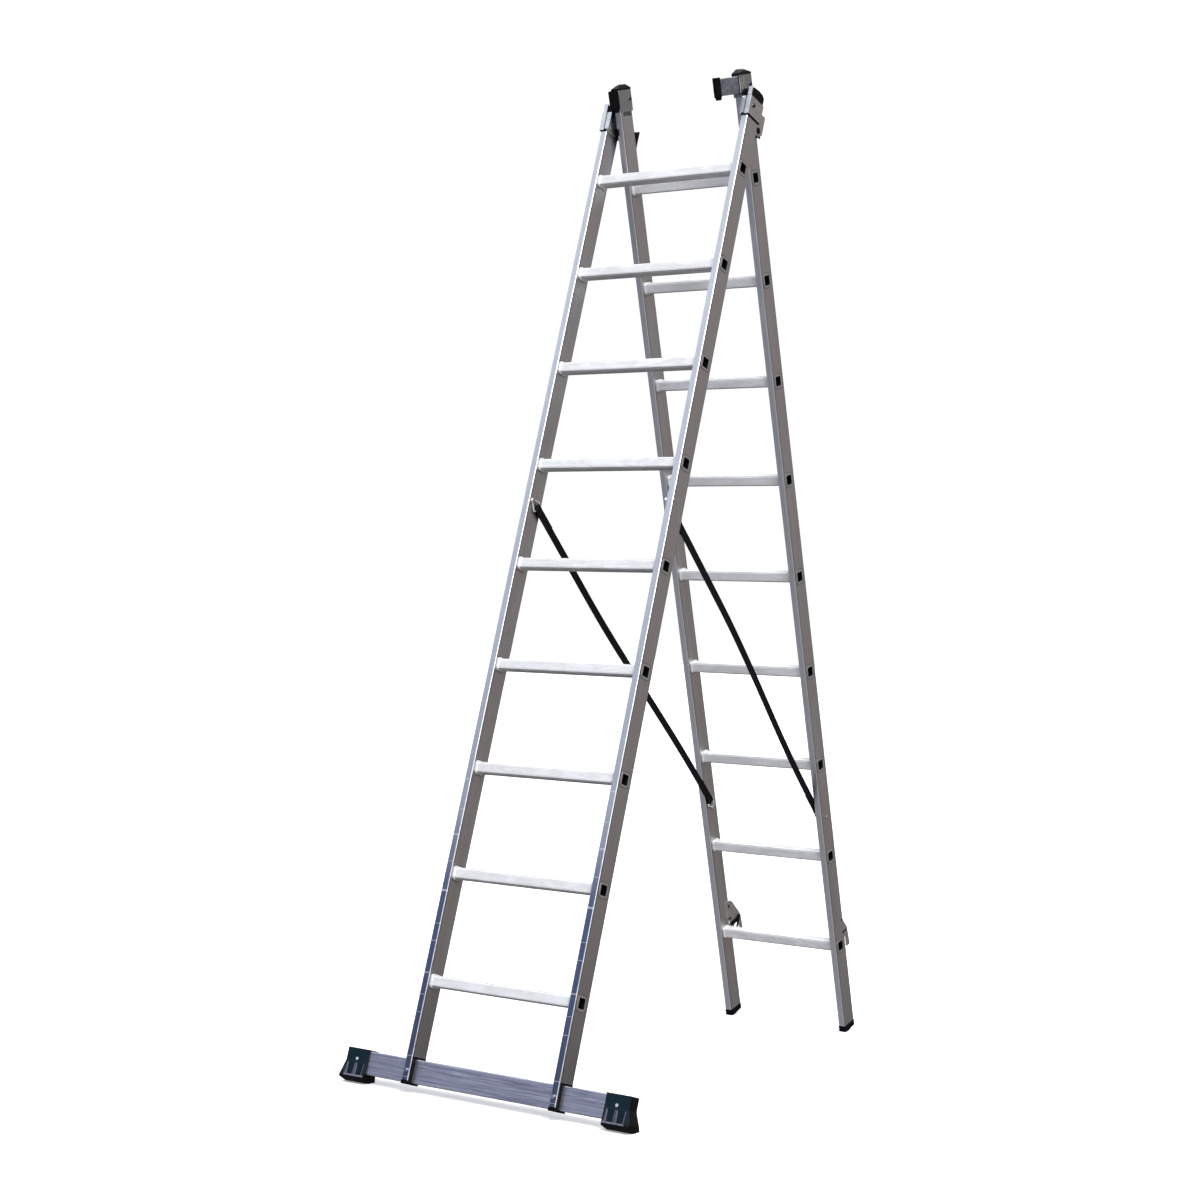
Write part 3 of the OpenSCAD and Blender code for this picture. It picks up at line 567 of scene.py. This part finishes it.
def arc(centre, radius, a0, a1, steps):
    """Points of a round stretch from angle a0 to a1, in degrees."""
    return [(centre[0] + radius * math.cos(math.radians(a0 + (a1 - a0) * i / steps)),
             centre[1] + radius * math.sin(math.radians(a0 + (a1 - a0) * i / steps)))
            for i in range(steps + 1)]


def even(points, gap):
    """The closed outline through points, cut into steps no longer than gap."""
    done = []
    for i, p in enumerate(points):
        q = points[(i + 1) % len(points)]
        d = math.dist(p, q)
        k = max(1, math.ceil(d / gap))
        done += [(p[0] + (q[0] - p[0]) * j / k, p[1] + (q[1] - p[1]) * j / k) for j in range(k)]
    return done


# One ring in its own plane: an eye round the rivet and a triangle with round corners
RING_PLAN = even(arc((0, 0), 0.0052, 60, 300, 14) + arc((0.0235, -0.0125), 0.0035, -122, 0, 6)
                 + arc((0.0235, 0.0125), 0.0035, 0, 122, 6), 0.003)


def smooth(t):
    t = min(max(t, 0), 1)
    return t * t * (3 - 2 * t)


def band_offset(u):
    """How far outward the strap runs, u past the ring's wire."""
    return LOOP_R * (1 - smooth(u / LOOP_EASE))


def tail_offset(u):
    """How far outward, so a negative number, the sewn tail runs there."""
    return -TAIL_DROP - TAIL_FLARE * (1 - smooth(u / TAIL_EASE))


class Strap:
    """The strap of one side, 1 for right and -1 for left, on the line between its two rivets."""

    def __init__(self, side):
        self.side = side
        self.base = base_point(side * BASE_RING_X, *BASE_ANCHOR)
        self.fly = fly_point(side * FLY_RING_X, *FLY_ANCHOR)
        run = Vector((0, self.fly.y - self.base.y, self.fly.z - self.base.z))
        self.length = run.length
        self.along = run.normalized()
        self.across = Vector((0, -self.along.z, self.along.y))
        self.split = STRAP_SPLIT * self.length

    def spot(self, d, out):
        """The point d from the base's rivet, and out beyond the strap's middle."""
        share = smooth((d / self.length - INWARD_FROM) / INWARD_OVER)
        x = BASE_RING_X + (FLY_RING_X - BASE_RING_X) * share
        return Vector((self.side * (x + out), self.base.y, self.base.z)) + self.along * d

    def ring(self, part):
        """The wire ring at one end."""
        at, along = (self.base, self.along) if part == "base" else (self.fly, -self.along)
        return tube([at + along * u + self.across * v for u, v in RING_PLAN], WIRE_R)

    def base_path(self):
        """From the sewn tail, round the base ring's wire, then up to the split."""
        path = []
        for i in range(int(TAIL / TAIL_STEP)):
            u = TAIL - i * TAIL_STEP
            path.append(self.spot(RING_REACH + u, tail_offset(u)))
        for k in range(-90, 91, 15):
            a = math.radians(k)
            path.append(self.spot(RING_REACH - LOOP_R * math.cos(a), LOOP_R * math.sin(a)))
        reach = self.split - RING_REACH
        for i in range(1, BASE_STEPS + 1):
            u = reach * i / BASE_STEPS
            path.append(self.spot(RING_REACH + u, band_offset(u)))
        return path

    def fly_path(self):
        """From the split, round the fly ring's wire, and back to its own sewn tail."""
        path = []
        ring = self.length - RING_REACH
        reach = ring - self.split
        for i in range(FLY_STEPS):
            gone = reach * i / FLY_STEPS
            path.append(self.spot(self.split + gone, band_offset(reach - gone)))
        for k in range(90, -91, -15):
            a = math.radians(k)
            path.append(self.spot(ring + LOOP_R * math.cos(a), LOOP_R * math.sin(a)))
        for i in range(1, int(TAIL / TAIL_STEP)):
            u = i * TAIL_STEP
            path.append(self.spot(ring - u, tail_offset(u)))
        return path

    def stitches(self, part):
        """Box stitching that closes one loop: four sides and a cross, on both faces."""
        corners = [(BOX_START, -BOX_HALF), (BOX_START, BOX_HALF),
                   (BOX_END, BOX_HALF), (BOX_END, -BOX_HALF)]
        runs = [(corners[i], corners[(i + 1) % 4]) for i in range(4)]
        runs += [(corners[0], corners[2]), (corners[1], corners[3])]
        clear = STRAP_T / 2 + STITCH_LIFT
        bits = []
        for p, q in runs:
            count = int(math.dist(p, q) / STITCH_PITCH)
            for i in range(count):
                for offset, lift in ((band_offset, clear), (tail_offset, -clear)):
                    tips = []
                    for f in ((i + 0.14) / count, (i + 0.80) / count):
                        u = p[0] + (q[0] - p[0]) * f
                        v = p[1] + (q[1] - p[1]) * f
                        d = RING_REACH + u if part == "base" else self.length - RING_REACH - u
                        tips.append(self.spot(d, offset(u) + lift) + self.across * v)
                    bits.append(stitch(*tips, Vector((self.side, 0, 0))))
        return merge(bits)


fly_rings = []
for side, word in ((1, "right"), (-1, "left")):
    strap = Strap(side)
    wire = new_object("strap_wire_base_" + word, *strap.ring("base"), MATERIALS["wire"])
    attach(wire, "base_section")
    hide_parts("base_strap_ring_" + word)
    fly_rings.append(strap.ring("fly"))

    start = strap.base + strap.along * RING_REACH
    split = strap.base + strap.along * strap.split
    end = strap.fly - strap.along * RING_REACH
    for part, path, bodies, ends in (
            ("base", strap.base_path(), ("base_section", "swivel_guides"), (start, split)),
            ("fly", strap.fly_path(), ("swivel_guides", "fly_section"), (split, end))):
        band = ribbon("strap_" + part + "_webbing_" + word, path, strap.across,
                      STRAP_W, STRAP_T, MATERIALS["webbing"])
        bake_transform(band)
        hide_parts("strap_" + word)
        thread = new_object("strap_" + part + "_stitches_" + word, *strap.stitches(part),
                            MATERIALS["thread"])
        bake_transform(thread)

wire = new_object("strap_wires_fly", *merge(fly_rings), MATERIALS["wire"])
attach(wire, "fly_section")
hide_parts("fly_strap_rings")


# ------------------------------------------------------------------ light and floor
scene = bpy.context.scene
scene.view_settings.view_transform = "Standard"
WHITE = (1, 1, 1)


def studio_world():
    """A pale studio for the ladder to reflect, and plain white behind it for the camera."""
    world = bpy.data.worlds.new("studio")
    scene.world = world
    world.use_nodes = True
    world.node_tree.nodes.clear()
    g = Graph(world.node_tree)
    dx, dy, dz = g.split(g.node("TexCoord").outputs["Generated"])
    to_right = g.between(dx, -0.25, 0.30)
    low = g.mix(to_right, (0.075, 0.095, 0.190), (0.265, 0.240, 0.225))
    under = g.mix(g.between(dy, -0.5, 0.4), (0.34, 0.34, 0.36), (0.055, 0.050, 0.050))
    low = g.mix(g.between(dz, -0.30, -0.12, 1, 0), low, under)
    high = g.mix(to_right, (0.88, 0.95, 1.08), (0.62, 0.62, 0.64))
    high = g.mix(g.between(dz, 0.55, 1.0), high, (1.25, 1.25, 1.25))
    room = g.node("Background")
    g.put(room.inputs["Color"], g.mix(g.between(dz, 0.30, 0.46), low, high))
    room.inputs["Strength"].default_value = 1.0
    white = g.node("Background")
    white.inputs["Color"].default_value = (*WHITE, 1)
    white.inputs["Strength"].default_value = 1.05
    shader = g.node("MixShader")
    g.put(shader.inputs[0], g.node("LightPath").outputs["Is Camera Ray"])
    g.put(shader.inputs[1], room.outputs[0])
    g.put(shader.inputs[2], white.outputs[0])
    g.put(g.node("OutputWorld").inputs[0], shader.outputs[0])


def lamp(name, kind, at, ray):
    """A lamp at a place, shining along ray; returns its settings."""
    data = bpy.data.lights.new(name, kind)
    obj = bpy.data.objects.new(name, data)
    obj.location = at
    obj.rotation_mode = "QUATERNION"
    obj.rotation_quaternion = ray.to_track_quat("-Z", "Y")
    scene.collection.objects.link(obj)
    return data


def studio_floor():
    """A pale floor that catches shadows and isn't seen in the ladder's metal."""
    mat, g, bsdf = material("floor", 0.0, 0.2)
    patches = g.noise(g.node("TexCoord").outputs["Object"], 0.7, 3)
    g.put(bsdf.inputs["Base Color"], g.mix(patches, (0.93, 0.93, 0.93), (0.96, 0.96, 0.96)))
    bsdf.inputs["Roughness"].default_value = 0.9
    bsdf.inputs["Emission Color"].default_value = (*WHITE, 1)
    bsdf.inputs["Emission Strength"].default_value = 0.22
    corners = [(-40, -40, 0), (40, -40, 0), (40, 40, 0), (-40, 40, 0)]
    floor = new_object("floor", corners, [(0, 1, 2, 3)], mat)
    floor.visible_glossy = False
    floor.visible_diffuse = False


studio_world()
SIDE_AT, SIDE_AIM = Vector((4.5, -3.0, 4.5)), Vector((0, 0, 1.2))
side_light = lamp("side", "AREA", SIDE_AT, SIDE_AIM - SIDE_AT)
side_light.size = 1.6
side_light.energy = 120
sun = lamp("sun", "SUN", (0, 0, 0), Vector((-0.42, 0.50, -0.76)))
sun.energy = 2.6
sun.angle = math.radians(40)
studio_floor()
